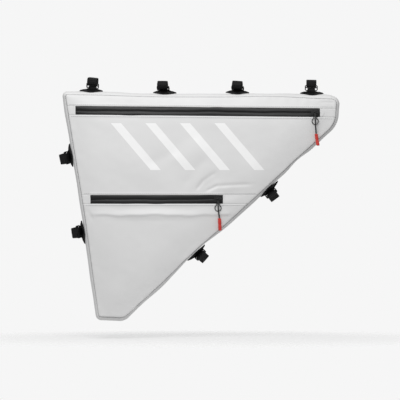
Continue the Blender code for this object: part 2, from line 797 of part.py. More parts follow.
make_panels()
make_gusset()
make_tape("main_zip", main_zip_z, MAIN_ZIP_START, MAIN_ZIP_END)
make_tape("pocket_zip", pocket_zip_z, POCKET_ZIP_START, POCKET_ZIP_END)
for prefix, line, end, route, length, shift in (
    ("main", main_zip_z, MAIN_ZIP_END, MAIN_CORD_ROUTE, MAIN_GRIP_LENGTH, MAIN_GRIP_SHIFT),
    ("pocket", pocket_zip_z, POCKET_ZIP_END, POCKET_CORD_ROUTE, POCKET_GRIP_LENGTH, POCKET_GRIP_SHIFT),
):
    hang = end - SLIDER_END_PLAY - SLIDER_LENGTH / 2
    make_slider(prefix + "_slider", line, hang)
    make_pull(prefix, line, hang, route, length, shift)
for row in MOUNTS:
    make_mount(*row)
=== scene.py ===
"""Full-frame bicycle bag of light laminate, hung as on its frame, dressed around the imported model."""

import math

import bpy
import numpy as np
from mathutils import Matrix, Vector


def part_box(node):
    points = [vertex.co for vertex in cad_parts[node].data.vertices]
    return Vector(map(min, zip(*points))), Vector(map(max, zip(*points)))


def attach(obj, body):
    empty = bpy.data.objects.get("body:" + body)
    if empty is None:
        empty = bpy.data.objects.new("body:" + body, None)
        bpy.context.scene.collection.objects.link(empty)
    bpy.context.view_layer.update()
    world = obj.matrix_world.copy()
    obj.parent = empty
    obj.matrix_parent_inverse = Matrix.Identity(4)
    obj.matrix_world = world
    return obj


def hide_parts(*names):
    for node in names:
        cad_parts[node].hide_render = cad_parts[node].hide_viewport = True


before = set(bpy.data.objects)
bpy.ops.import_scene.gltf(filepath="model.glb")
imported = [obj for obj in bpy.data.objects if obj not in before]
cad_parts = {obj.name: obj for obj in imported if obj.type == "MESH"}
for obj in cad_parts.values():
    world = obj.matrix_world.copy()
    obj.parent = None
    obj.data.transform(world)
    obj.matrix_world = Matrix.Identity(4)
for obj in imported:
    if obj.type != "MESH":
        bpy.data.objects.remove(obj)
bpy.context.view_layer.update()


# The cut: a five-sided front and back, sewn along one seam line to a bellied band.
# The seam is straight between rounded corners, and a little drawn in where the cloth is slack.
SIDES = ("top", "nose", "down", "foot", "seat")
TOP_LENGTH, TOP_FALL = 0.5042, 0.0086
SEAT_HEIGHT, SEAT_LEAN = 0.4123, 0.0627
FOOT_LENGTH, FOOT_FALL = 0.0462, 0.0019
NOSE_HEIGHT, NOSE_LEAN = 0.0460, 0.0037
CORNER_RADII = (0.0025, 0.0090, 0.0420, 0.0180, 0.0040)
CROWN = 0.0071
HALF_DEPTH = 0.0250
FRONT_PUFF, BACK_PUFF = 0.0070, 0.0050
EDGE_RISE = 0.0550
BELLY = (1.00, 1.00, 0.75, 1.00, 0.90)

# Dents: side, middle and half width along it, seam drawn in, band flattened, as shares of the crown
DENTS = (
    ("top", 0.33, 0.24, 0.20, 0.00),
    ("top", 0.76, 0.22, -0.42, 0.08),
    ("top", 0.94, 0.12, 0.00, -0.30),
    ("down", 0.18, 0.07, 0.10, 0.30),
    ("down", 0.66, 0.17, 0.35, 0.40),
    ("seat", 0.50, 0.45, 0.26, 0.00),
)

# Soft folds: middle x and z, slope, half length, half width, height, shares as in the cut
FOLDS = (
    (-0.165, -0.548, 0.0, 0.270, 0.024, 0.28),
    (0.110, -0.455, 8.0, 0.080, 0.030, -0.30),
    (0.030, -0.400, 38.0, 0.070, 0.034, -0.22),
    (-0.040, -0.270, 30.0, 0.100, 0.060, 0.18),
    (0.415, -0.048, 0.0, 0.045, 0.024, -0.15),
)

top_left = np.array([-TOP_LENGTH / 2, TOP_FALL / 2 - CROWN])
top_right = np.array([TOP_LENGTH / 2, -TOP_FALL / 2 - CROWN])
foot_left = top_left + [SEAT_LEAN, -SEAT_HEIGHT]
corners = np.array([
    top_left,
    top_right,
    top_right - [NOSE_LEAN, NOSE_HEIGHT],
    foot_left + [FOOT_LENGTH, -FOOT_FALL],
    foot_left,
])
runs = np.roll(corners, -1, axis=0) - corners
lengths = np.linalg.norm(runs, axis=1)
along = runs / lengths[:, None]
outward = np.stack([-along[:, 1], along[:, 0]], axis=1)
turns = np.arccos(np.clip(np.sum(np.roll(along, 1, axis=0) * along, axis=1), -1, 1))


def bump(distance):
    """Raised cosine: half of one plus the cosine of pi times the distance, and 0 past a distance of 1."""
    return np.where(np.abs(distance) < 1, 0.5 + 0.5 * np.cos(np.pi * np.clip(distance, -1, 1)), 0.0)


def dented(side, share, column):
    """Sum of one column of the dents of a side at a share of its length, each row weighted by its bump."""
    total = np.zeros_like(share)
    for row in DENTS:
        if row[0] == SIDES[side]:
            total += row[column] * bump((share - row[1]) / row[2])
    return total


def side_distance(x, z, side):
    """Distance inside a side's line: minus the offset from its start along the outward normal."""
    return -((x - corners[side][0]) * outward[side][0] + (z - corners[side][1]) * outward[side][1])


def dome(x, z):
    """Product over the sides of 1 - (1 - d)^2, with d the distance inside the side over the edge's rise."""
    value = np.ones_like(x)
    for side in range(len(SIDES)):
        value *= 1 - (1 - np.clip(side_distance(x, z, side) / EDGE_RISE, 0, 1)) ** 2
    return value


def front_face(x, z):
    """Plain outer face of the front: the dome, and each soft fold as a bump along times a bump across."""
    x, z = np.asarray(x, float), np.asarray(z, float)
    folded = np.zeros_like(x)
    for middle_x, middle_z, slope, half_length, half_width, height in FOLDS:
        off_x, off_z = x - middle_x * TOP_LENGTH, z - middle_z * SEAT_HEIGHT
        turn = math.radians(slope)
        lengthwise = off_x * math.cos(turn) + off_z * math.sin(turn)
        crosswise = off_z * math.cos(turn) - off_x * math.sin(turn)
        folded += height * bump(lengthwise / (half_length * TOP_LENGTH)) * bump(
            crosswise / (half_width * TOP_LENGTH)
        )
    return -(HALF_DEPTH + FRONT_PUFF * dome(x, z) * (1 + folded))


# Camera at the photograph's height and distance, square to the front.
# 400 px of the picture take in 745.6 mm at the bag's middle plane.
PICTURE_WIDTH = 0.7456
CAMERA_DISTANCE = 6.0
PICTURE_CENTRE = (-0.0020, -0.1985)

camera = bpy.data.objects.new("camera", bpy.data.cameras.new("camera"))
bpy.context.scene.collection.objects.link(camera)
camera.location = (PICTURE_CENTRE[0], -CAMERA_DISTANCE, PICTURE_CENTRE[1])
camera.rotation_euler = (math.radians(90), 0, 0)
camera.data.sensor_width = 36.0
camera.data.lens = camera.data.sensor_width * CAMERA_DISTANCE / PICTURE_WIDTH
camera.data.clip_end = 50.0
bpy.context.scene.camera = camera


# Pull cords: 2.6 mm braided polyester, knotted to the slider and ending in a red sleeve.
# They hang in front of the wire ring and lie against the panel, so their route follows its face.
CORD_DIAMETER = 0.0026
GRIP_DIAMETER = 0.0062
ROUTE_SUBSTEPS, ROUTE_POINTS = 24, 40
# Each route: to the right of the slider's middle, below the cord's upper end and ahead of the panel.
CORD_ROUTES = {
    "main": (
        (0.0000, 0.0000, 0.0036),
        (0.0001, 0.0120, 0.0046),
        (0.0004, 0.0215, 0.0056),
        (0.0012, 0.0310, 0.0048),
        (0.0019, 0.0380, 0.0038),
    ),
    "pocket": (
        (0.0000, 0.0000, 0.0036),
        (0.0002, 0.0110, 0.0042),
        (0.0008, 0.0210, 0.0050),
        (0.0018, 0.0280, 0.0044),
        (0.0026, 0.0335, 0.0038),
    ),
}


def linear(code):
    """Linear colour of an sRGB hex code: each channel over 12.92 when dark, else a power of 2.4."""
    channels = np.array([int(code[k : k + 2], 16) / 255 for k in (1, 3, 5)])
    return (*np.where(channels <= 0.04045, channels / 12.92, ((channels + 0.055) / 1.055) ** 2.4), 1.0)


def add_node(tree, kind, inputs=(), **settings):
    """Node of a tree: settings are its properties, inputs pair a socket with a value or an output."""
    made = tree.nodes.new(kind)
    for key, value in settings.items():
        setattr(made, key, value)
    for key, value in dict(inputs).items():
        if isinstance(value, bpy.types.NodeSocket):
            tree.links.new(value, made.inputs[key])
        else:
            made.inputs[key].default_value = value
    return made


def new_material(name, code, roughness, **sockets):
    """Material, its tree and its shader, with plain values set on the shader's own sockets."""
    made = bpy.data.materials.new(name)
    made.use_nodes = True
    shader = made.node_tree.nodes["Principled BSDF"]
    shader.inputs["Base Color"].default_value = linear(code)
    shader.inputs["Roughness"].default_value = roughness
    for key, value in sockets.items():
        shader.inputs[key.replace("_", " ")].default_value = value
    return made, made.node_tree, shader


def emboss(tree, shader, height, strength, distance):
    """Bump of a height, linked to a shader's normal."""
    relief = add_node(
        tree, "ShaderNodeBump", {"Height": height, "Strength": strength, "Distance": distance}
    )
    tree.links.new(relief.outputs["Normal"], shader.inputs["Normal"])


def two_toned(tree, factor, low, high):
    """Colour between two sRGB hex codes, by a factor."""
    mixed = add_node(
        tree, "ShaderNodeMix", {"Factor": factor, "A": linear(low), "B": linear(high)}, data_type="RGBA"
    )
    return mixed.outputs["Result"]


def smooth_route(points, count):
    """Even points on a Catmull-Rom curve through the route's own points."""
    ends = np.vstack([2 * points[0] - points[1], points, 2 * points[-1] - points[-2]])
    t = np.linspace(0, 1, ROUTE_SUBSTEPS, endpoint=False)[:, None]
    dense = np.vstack([
        0.5 * (2 * p1 + (p2 - p0) * t + (2 * p0 - 5 * p1 + 4 * p2 - p3) * t**2
               + (3 * p1 - p0 - 3 * p2 + p3) * t**3)
        for p0, p1, p2, p3 in zip(ends[:-3], ends[1:-2], ends[2:-1], ends[3:])
    ] + [points[-1:]])
    walked = np.concatenate([[0], np.cumsum(np.linalg.norm(np.diff(dense, axis=0), axis=1))])
    wanted = np.linspace(0, walked[-1], count)
    return np.stack([np.interp(wanted, walked, dense[:, axis]) for axis in range(3)], axis=1), walked[-1]


# Braided polyester is a dull black with fine slanted strands.
braid, braid_tree, braid_shader = new_material("braided polyester cord", "#141415", 0.75, Sheen_Weight=0.3)
BRAID_PITCH = 0.0016
# A wave texture whose scale is this over a pitch repeats once in the pitch.
WAVE_SCALE = 0.31
place = add_node(braid_tree, "ShaderNodeTexCoord").outputs["Object"]
strands = add_node(
    braid_tree, "ShaderNodeTexWave", {"Vector": place, "Scale": WAVE_SCALE / BRAID_PITCH, "Distortion": 1.5},
    wave_type="BANDS", bands_direction="DIAGONAL",
)
emboss(braid_tree, braid_shader, strands.outputs["Fac"], 0.6, 0.0004)

for name, route in CORD_ROUTES.items():
    low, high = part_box(name + "_slider")
    hang_x = (low.x + high.x) / 2
    start_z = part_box(name + "_pull_cord")[1].z
    rows = np.array(route)
    x, z = hang_x + rows[:, 0], start_z - rows[:, 1]
    line = np.stack([x, front_face(x, z) - rows[:, 2], z], axis=1)
    path, cord_length = smooth_route(line, ROUTE_POINTS)
    curve = bpy.data.curves.new(name + "_cord", "CURVE")
    curve.dimensions = "3D"
    curve.bevel_depth = CORD_DIAMETER / 2
    curve.bevel_resolution = 4
    curve.use_fill_caps = True
    spline = curve.splines.new("POLY")
    spline.points.add(len(path) - 1)
    spline.points.foreach_set("co", np.hstack([path, np.ones((len(path), 1))]).ravel())
    cord = bpy.data.objects.new(name + "_cord", curve)
    bpy.context.scene.collection.objects.link(cord)
    curve.materials.append(braid)
    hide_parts(name + "_pull_cord")
    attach(cord, "root")


# Front and back panels: light grey coated laminate, cut to the seam line and turned under at each edge.
# The cloth rolls into the seam, is hemmed along the zips, and keeps the folds it took when it was sewn.
SEAM_STEP = 0.0015
CLOTH = 0.0012
CELL = 0.0022
WAVE_COUNT = 14


def seam_line():
    """Points, outward normals, band heights and corner marks round the seam: straight runs and arcs."""
    points, normals, bellies, marks = [], [], [], []
    count = 0
    for side in range(len(SIDES)):
        after = (side + 1) % len(SIDES)
        first = CORNER_RADII[side] * math.tan(turns[side] / 2)
        last = lengths[side] - CORNER_RADII[after] * math.tan(turns[after] / 2)
        steps = np.linspace(first, last, max(4, int((last - first) / SEAM_STEP)))
        share = steps / lengths[side]
        drawn = CROWN * dented(side, share, 3)
        points.append(corners[side] + along[side] * steps[:, None] - outward[side] * drawn[:, None])
        normals.append(np.tile(outward[side], (len(steps), 1)))
        bellies.append(CROWN * (BELLY[side] - dented(side, share, 4)))
        angle = np.linspace(0, turns[after], max(9, int(turns[after] * 24)))[1:-1]
        turned = np.cos(angle)[:, None] * outward[side] + np.sin(angle)[:, None] * along[side]
        centre = corners[side] + along[side] * last - outward[side] * CORNER_RADII[after]
        points.append(centre + CORNER_RADII[after] * turned)
        normals.append(turned)
        bellies.append(CROWN * np.interp(angle / turns[after], (0, 1), (BELLY[side], BELLY[after])))
        marks.append(count + len(steps) + len(angle) // 2)
        count += len(steps) + len(angle)
    return np.vstack(points), np.vstack(normals), np.concatenate(bellies), marks


seam, seam_normal, seam_belly, corner_marks = seam_line()
seam_walked = np.concatenate([[0], np.cumsum(np.linalg.norm(np.diff(seam, axis=0), axis=1))])
seam_total = seam_walked[-1] + np.linalg.norm(seam[0] - seam[-1])


def on_seam(walked):
    """Points of the seam at distances walked round it, past its end too."""
    return np.stack([np.interp(walked, seam_walked, seam[:, k], period=seam_total) for k in (0, 1)], axis=1)


def crossing(line_z, left):
    """Distance walked to where a line across the bag meets the seam's left or right run."""
    above_line = seam[:, 1] - line_z(seam[:, 0])
    top_right_mark, foot_right_mark = corner_marks[0], corner_marks[2]
    foot_left_mark, top_left_mark = corner_marks[3], corner_marks[4]
    part = slice(foot_left_mark, top_left_mark) if left else slice(top_right_mark, foot_right_mark)
    heights, distances = above_line[part], seam_walked[part]
    return float(np.interp(0, heights if left else heights[::-1], distances if left else distances[::-1]))


def filled(bottom, top, left, right):
    """Coons patch: bottom to top plus left to right, minus the blend of the four corners."""
    u = np.linspace(0, 1, len(bottom))[None, :, None]
    v = np.linspace(0, 1, len(left))[:, None, None]
    corner_blend = (
        (1 - u) * (1 - v) * bottom[0] + u * (1 - v) * bottom[-1] + (1 - u) * v * top[0] + u * v * top[-1]
    )
    upward = (1 - v) * bottom[None] + v * top[None]
    return upward + (1 - u) * left[:, None] + u * right[:, None] - corner_blend


def seam_distance(points):
    """Distance of each point to the seam line, found against its points in slices."""
    flat = points.reshape(-1, 2)
    nearest = [
        np.sqrt(((part[:, None] - seam[None, ::2]) ** 2).sum(-1).min(1))
        for part in np.array_split(flat, 60)
    ]
    return np.concatenate(nearest).reshape(points.shape[:-1])


def cloth_waves(x, z, seed, shortest, longest, size):
    """Slack of sewn cloth: seeded plane waves of random direction, length and phase, added up."""
    chance = np.random.default_rng(seed)
    total = np.zeros_like(x)
    for _ in range(WAVE_COUNT):
        turn, phase = chance.uniform(0, 2 * np.pi, 2)
        wave = 2 * np.pi / chance.uniform(shortest, longest)
        total += np.sin(wave * (x * np.cos(turn) + z * np.sin(turn)) + phase)
    return size * total / math.sqrt(WAVE_COUNT)


MAIN_DROP, MAIN_FALL = 0.0345, 0.0049 / TOP_LENGTH
POCKET_DROP = 0.1974
HALF_SLOT = 0.0080
MAIN_ENDS, POCKET_ENDS = (-0.2330, 0.2205), (-0.2052, 0.0404)
HEM_WIDTH, HEM_RISE, HEM_SLOPE, HEM_EDGE = 0.0042, 0.0007, 0.0012, 0.0008
STITCH_PLACE, GROOVE_WIDTH, GROOVE_DEPTH = 0.72, 0.0006, 0.0003
LIP_DROP, FOLD_RISE, FOLD_ABOVE, FOLD_BELOW = 0.0285, 0.0019, 0.016, 0.0035
FOLD_LEFT, FOLD_RIGHT = -0.212, 0.078
GARAGE_RADIUS = 0.0086
SEAM_ROLL, SEAM_SINK = 0.0032, 0.0022
CALM_EDGE, PUCKER_REACH = 0.012, 0.007

# Slack of the cloth: seed, shortest and longest wave, and height in metres
BROAD_SLACK = (7, 0.05, 0.16, 0.00045)
FINE_SLACK = (11, 0.016, 0.034, 0.00006)
SEAM_PUCKER = (3, 0.011, 0.020, 0.00022)
BACK_SLACK = (5, 0.05, 0.16, 0.0005)
BAND_PUCKER = (21, 0.010, 0.024, 0.00035)
BAND_SLACK = (23, 0.05, 0.14, 0.0005)

# Creases: start x, z and end x, z, width and depth in metres. A row below 0 deep stands out as a ridge.
CREASES = (
    (0.0110, -0.1810, 0.0300, -0.1722, 0.0030, 0.0015),
    (0.0300, -0.1722, 0.0921, -0.1693, 0.0032, 0.0014),
    (-0.0076, -0.1780, 0.0047, -0.1622, 0.0030, 0.0012),
    (0.0047, -0.1622, 0.0261, -0.1480, 0.0034, 0.0009),
    (0.2228, -0.0168, 0.2492, -0.0168, 0.0024, 0.0012),
    (-0.2108, -0.2172, -0.2015, -0.2358, 0.0028, 0.0010),
    (-0.1000, -0.1350, -0.0450, -0.1050, 0.0110, 0.0008),
    (-0.0350, -0.1720, 0.0100, -0.1200, 0.0100, 0.0008),
)


def main_line(x):
    """Middle of the main zip: a straight line that falls a little to the right."""
    return -MAIN_DROP - MAIN_FALL * x


def pocket_line(x):
    """Middle of the pocket zip: level."""
    return -POCKET_DROP + 0 * x


ZIPS = (("main", main_line, MAIN_ENDS), ("pocket", pocket_line, POCKET_ENDS))


def creased(x, z):
    """Sum over the creases of depth times a Gaussian across and a smooth fade at both ends."""
    total = np.zeros_like(x)
    for x0, z0, x1, z1, width, depth in CREASES:
        length = math.hypot(x1 - x0, z1 - z0)
        run_x, run_z = (x1 - x0) / length, (z1 - z0) / length
        lengthwise = ((x - x0) * run_x + (z - z0) * run_z) / length
        crosswise = ((z - z0) * run_x - (x - x0) * run_z) / width
        fade = np.clip(1.5 - np.abs(lengthwise - 0.5) * 2, 0, 1)
        total += depth * fade * fade * (3 - 2 * fade) * np.exp(-crosswise**2)
    return total


def pocket_fold(x, z):
    """Slack under the pocket zip: rises from the hem to a wavy lip and drops off sharply below it."""
    lip = -POCKET_DROP - LIP_DROP + 0.0010 * np.sin(x * 55) + 0.0006 * np.sin(x * 140 + 1)
    from_lip = z - lip
    above = np.clip(1 - from_lip / FOLD_ABOVE, 0, 1) ** 1.5
    below = np.clip(1 + from_lip / FOLD_BELOW, 0, 1)
    ends = np.clip((x - FOLD_LEFT) / 0.02, 0, 1) * np.clip((FOLD_RIGHT - x) / 0.03, 0, 1)
    return FOLD_RISE * np.where(from_lip > 0, above, below) * ends


def hemmed(distance):
    """Hem at a distance from its edge: full rise to its width, then a stitched groove, then nothing."""
    flat = np.clip((HEM_WIDTH - distance) / HEM_SLOPE, 0, 1)
    edge = 1 - np.clip(1 - distance / HEM_EDGE, 0, 1) ** 2
    groove = np.exp(-(((distance - HEM_WIDTH * STITCH_PLACE) / GROOVE_WIDTH) ** 2))
    return HEM_RISE * (flat * flat * (3 - 2 * flat) * edge) - GROOVE_DEPTH * groove


def zip_side(x, z, line, ends):
    """Distance from a zip slot: across it between its ends, and lengthwise past them."""
    past = np.maximum(np.maximum(ends[0] - x, x - ends[1]), 0)
    across = np.maximum(np.abs(z - line(x)) - HALF_SLOT, 0)
    return np.hypot(past, across)


def garage(x, z):
    """Half-round cloth stop past the main zip's end: a low plateau with a raised rim."""
    off_x, off_z = x - MAIN_ENDS[1], z - main_line(x)
    reach = np.hypot(off_x, off_z) / GARAGE_RADIUS
    plateau = np.clip((1 - reach) / 0.12, 0, 1) * np.clip(off_x / 0.0010 + 1, 0, 1)
    rim = np.exp(-(((reach - 0.80) / 0.09) ** 2)) * (off_x > 0)
    return 0.0006 * plateau + 0.0004 * rim


def rolled(from_seam):
    """Sink of the cloth into the seam: almost a quarter round over the roll's width."""
    sink = np.clip(1 - from_seam / SEAM_ROLL, 0, 1)
    return SEAM_SINK * (1 - np.sqrt(1 - 0.98 * sink**2))


def front_cloth(x, z, from_seam):
    """Outer face of the front with its hems, creases, pocket fold, puckers and the roll into the seam."""
    inner = np.clip(from_seam / CALM_EDGE, 0, 1)
    ahead = cloth_waves(x, z, *BROAD_SLACK) * inner
    ahead += cloth_waves(x, z, *FINE_SLACK)
    ahead += cloth_waves(x, z, *SEAM_PUCKER) * np.exp(-from_seam / PUCKER_REACH)
    ahead += hemmed(zip_side(x, z, main_line, MAIN_ENDS)) + hemmed(zip_side(x, z, pocket_line, POCKET_ENDS))
    ahead += (pocket_fold(x, z) - creased(x, z)) * inner
    ahead += garage(x, z)
    ahead -= rolled(from_seam)
    return front_face(x, z) - ahead


def grid_mesh(name, points, uv=None, around=False):
    """Mesh of quads between neighbours of a grid of points, closed across its columns if around is set."""
    rows, columns = points.shape[:2]
    index = np.arange(rows * columns).reshape(rows, columns)
    if around:
        index = np.hstack([index, index[:, :1]])
    quads = np.stack([index[:-1, :-1], index[:-1, 1:], index[1:, 1:], index[1:, :-1]], -1).reshape(-1, 4)
    data = bpy.data.meshes.new(name)
    data.from_pydata(points.reshape(-1, 3), [], quads)
    if uv is not None:
        layer = data.uv_layers.new(name="UVMap")
        layer.data.foreach_set("uv", uv.reshape(-1, 2)[quads.ravel()].ravel())
    data.shade_smooth()
    return data


def add_piece(name, data, material, slot, *nodes, wall=0.0):
    """Piece of the bag at the origin, riding on its one body, with a wall thickened inwards if given."""
    piece = bpy.data.objects.new(name, data)
    bpy.context.scene.collection.objects.link(piece)
    data.materials.append(material)
    if wall:
        solid = piece.modifiers.new("wall", "SOLIDIFY")
        solid.thickness = wall
        solid.offset = -1.0
    if nodes:
        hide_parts(*nodes)
    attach(piece, "root")
    return piece


# Coated laminate has a satin face, a faint square yarn pattern under the coating and slightly cloudy grey.
LAMINATE_GREY, LAMINATE_SHADE = "#E3E3E3", "#DCDCDC"
YARN_PITCH = 0.0016


def laminate_material(name, printed):
    """Satin coated cloth; with printed set, slanted white bars cross it between two heights."""
    made, tree, shader = new_material(name, LAMINATE_GREY, 0.46, Sheen_Weight=0.08)
    where = add_node(tree, "ShaderNodeTexCoord").outputs["Object"]
    clouds = add_node(tree, "ShaderNodeTexNoise", {"Vector": where, "Scale": 14.0, "Detail": 4.0})
    colour = two_toned(tree, clouds.outputs["Fac"], LAMINATE_SHADE, LAMINATE_GREY)
    if printed:
        axes = add_node(tree, "ShaderNodeSeparateXYZ", {"Vector": where})
        slanted = add_node(
            tree, "ShaderNodeMath",
            {0: axes.outputs["Z"], 1: PRINT_SLANT, 2: axes.outputs["X"]}, operation="MULTIPLY_ADD",
        )
        from_first = add_node(
            tree, "ShaderNodeMath", {0: slanted.outputs[0], 1: PRINT_START}, operation="SUBTRACT"
        ).outputs[0]
        phase = add_node(tree, "ShaderNodeMath", {0: from_first, 1: PRINT_PITCH}, operation="MODULO")
        mask = None
        for value, kind, edge in (
            (phase.outputs[0], "LESS_THAN", PRINT_WIDTH),
            (from_first, "GREATER_THAN", 0.0),
            (from_first, "LESS_THAN", PRINT_PITCH * PRINT_COUNT),
            (axes.outputs["Z"], "LESS_THAN", PRINT_HIGH),
            (axes.outputs["Z"], "GREATER_THAN", PRINT_LOW),
        ):
            test = add_node(tree, "ShaderNodeMath", {0: value, 1: edge}, operation=kind).outputs[0]
            mask = test if mask is None else add_node(
                tree, "ShaderNodeMath", {0: mask, 1: test}, operation="MULTIPLY"
            ).outputs[0]
        ink = add_node(
            tree, "ShaderNodeMix", {"Factor": mask, "A": colour, "B": linear(PRINT_WHITE)}, data_type="RGBA"
        )
        colour = ink.outputs["Result"]
    tree.links.new(colour, shader.inputs["Base Color"])
    yarns = [
        add_node(
            tree, "ShaderNodeTexWave",
            {"Vector": where, "Scale": WAVE_SCALE / YARN_PITCH, "Distortion": 0.4},
            wave_type="BANDS", bands_direction=axis,
        ).outputs["Fac"]
        for axis in ("Z", "X")
    ]
    weave = add_node(tree, "ShaderNodeMath", dict(enumerate(yarns)), operation="ADD")
    emboss(tree, shader, weave.outputs[0], 0.10, 0.0002)
    return made


# Print of the front: slanted white bars, level at both ends.
PRINT_WHITE = "#F7F7F7"
PRINT_SLANT = 0.85
PRINT_START = -0.2150
PRINT_PITCH = 0.0640
PRINT_WIDTH = 0.0190
PRINT_COUNT = 4
PRINT_HIGH, PRINT_LOW = -0.0560, -0.1430

laminate = laminate_material("satin coated laminate", False)
printed_laminate = laminate_material("satin coated laminate with white screen print", True)


def level(line, offset):
    """A zip's line moved up by an offset, as a function of x."""
    return lambda x: line(x) + offset


def across(line, start, end, count):
    """Evenly spread points of a line between two x."""
    x = np.linspace(start, end, count)
    return np.stack([x, line(x)], axis=1)


def panel(name, bottom, top, left, right, material):
    """Cut piece of the front, laid on the front's face."""
    flat = filled(bottom, top, left, right)
    x, z = flat[..., 0], flat[..., 1]
    y = front_cloth(x, z, seam_distance(flat))
    data = grid_mesh(name, np.stack([x, y, z], axis=-1))
    return add_piece(name, data, material, "laminate", name, wall=CLOTH)


def counted(length):
    """Cells that a length takes."""
    return max(6, int(length / CELL))


def row_piece(name, low_line, high_line, material):
    """Piece that spans the bag between two lines."""
    left = crossing(low_line, True), crossing(high_line, True)
    right = crossing(low_line, False), crossing(high_line, False)
    rows = counted(abs(right[-1] - right[0]))
    left = on_seam(np.linspace(left[0], left[-1], rows))
    right = on_seam(np.linspace(right[0], right[-1], rows))
    columns = counted(right[-1][0] - left[-1][0])
    bottom = across(low_line, left[0][0], right[0][0], columns)
    top = across(high_line, left[-1][0], right[-1][0], columns)
    return panel(name, bottom, top, left, right, material)


row_piece("front_panel", level(pocket_line, HALF_SLOT), level(main_line, -HALF_SLOT), printed_laminate)

# The top strip ends in the two upper corners, the pocket panel in the two lower ones.
# Heights and a width here only set the number of cells; cells beside the zips are finer.
STRIP_HEIGHT, POCKET_HEIGHT, POCKET_WIDTH = 0.030, 0.25, 0.28
FINER = 1.6
BACK_COLUMNS, BACK_ROWS = 150, 120

left_start = crossing(level(main_line, HALF_SLOT), True)
right_start = crossing(level(main_line, HALF_SLOT), False)
corner_walked = [seam_walked[mark] for mark in corner_marks]
rows = counted(STRIP_HEIGHT)
columns = counted(TOP_LENGTH)
left = on_seam(np.linspace(left_start, corner_walked[4], rows))
right = on_seam(np.linspace(right_start, corner_walked[0], rows))
panel(
    "top_strip",
    across(level(main_line, HALF_SLOT), left[0][0], right[0][0], columns),
    on_seam(np.linspace(corner_walked[4], seam_total + corner_walked[0], columns)),
    left, right, laminate,
)

left_start = crossing(level(pocket_line, -HALF_SLOT), True)
right_start = crossing(level(pocket_line, -HALF_SLOT), False)
rows = counted(POCKET_HEIGHT)
columns = counted(POCKET_WIDTH)
left = on_seam(np.linspace(corner_walked[3], left_start, rows))
right = on_seam(np.linspace(corner_walked[2], right_start, rows))
panel(
    "pocket_panel",
    on_seam(np.linspace(corner_walked[3], corner_walked[2], columns)),
    across(level(pocket_line, -HALF_SLOT), left[-1][0], right[-1][0], columns),
    left, right, laminate,
)

for name, line, ends in ZIPS:
    low, high = level(line, -HALF_SLOT), level(line, HALF_SLOT)
    rows = counted(HALF_SLOT * 2 * FINER)
    edge = on_seam(np.linspace(crossing(low, True), crossing(high, True), rows))
    columns = counted((ends[0] - edge[0][0]) * FINER)
    slot_edge = np.stack([np.full(rows, ends[0]), np.linspace(low(ends[0]), high(ends[0]), rows)], axis=1)
    panel(
        name + "_zip_end_left",
        across(low, edge[0][0], ends[0], columns), across(high, edge[-1][0], ends[0], columns),
        edge, slot_edge, laminate,
    )
    edge = on_seam(np.linspace(crossing(low, False), crossing(high, False), rows))
    columns = counted((edge[-1][0] - ends[1]) * FINER)
    slot_edge = np.stack([np.full(rows, ends[1]), np.linspace(low(ends[1]), high(ends[1]), rows)], axis=1)
    panel(
        name + "_zip_end_right",
        across(low, ends[1], edge[0][0], columns), across(high, ends[1], edge[-1][0], columns),
        slot_edge, edge, laminate,
    )

flat = filled(
    on_seam(np.linspace(corner_walked[2], corner_walked[3], BACK_COLUMNS)),
    on_seam(np.linspace(seam_total + corner_walked[0], corner_walked[4], BACK_COLUMNS)),
    on_seam(np.linspace(corner_walked[2], corner_walked[0], BACK_ROWS)),
    on_seam(np.linspace(corner_walked[3], corner_walked[4], BACK_ROWS)),
)
x, z = flat[..., 0], flat[..., 1]
from_seam = seam_distance(flat)
slack = cloth_waves(x, z, *BACK_SLACK) * np.clip(from_seam / CALM_EDGE, 0, 1)
y = HALF_DEPTH + BACK_PUFF * dome(x, z) + slack - rolled(from_seam)
data = grid_mesh("back_panel", np.stack([x, y, z], axis=-1))
add_piece("back_panel", data, laminate, "laminate", "back_panel", wall=CLOTH)


# Gusset: one band of the same laminate round the edge, 50 mm deep, sewn to both panels.
# It bellies out between the seams, flattens where the straps pull it and puckers along the stitching.
GUSSET_COLUMNS = 30
BAND_INSET = 0.0024
BAND_POWER, BAND_ROOT = 2.6, 0.62

share = np.linspace(-1, 1, GUSSET_COLUMNS)
profile = (1 - np.abs(share) ** BAND_POWER) ** BAND_ROOT
pucker = cloth_waves(seam_walked, 0 * seam_walked, *BAND_PUCKER)
slack = cloth_waves(seam_walked, 0 * seam_walked, *BAND_SLACK)
out = seam_belly[:, None] * profile[None] + slack[:, None] * profile[None]
out += pucker[:, None] * (np.abs(share) ** 4 * (1 - np.abs(share) ** 12))[None]
spot = seam[:, None] + seam_normal[:, None] * out[..., None]
depth = np.broadcast_to((HALF_DEPTH - BAND_INSET) * share, out.shape)
band = np.stack([spot[..., 0], depth, spot[..., 1]], axis=-1)
data = grid_mesh("gusset", band.transpose(1, 0, 2), around=True)
add_piece("gusset", data, laminate, "laminate", "gusset", wall=CLOTH)


# Seam stitching: grey thread, a lockstitch beside every seam and along both zip hems.
# Each stitch is a short bead of thread pressed into the cloth.
STITCH, STITCH_GAP, THREAD = 0.0026, 0.0010, 0.00045
RINGS, SPOKES = 5, 6
TAPER, FLATNESS, THREAD_SUNK = 0.97, 0.7, 0.35
HEM_MARGIN, HEM_POINTS = 0.004, 500


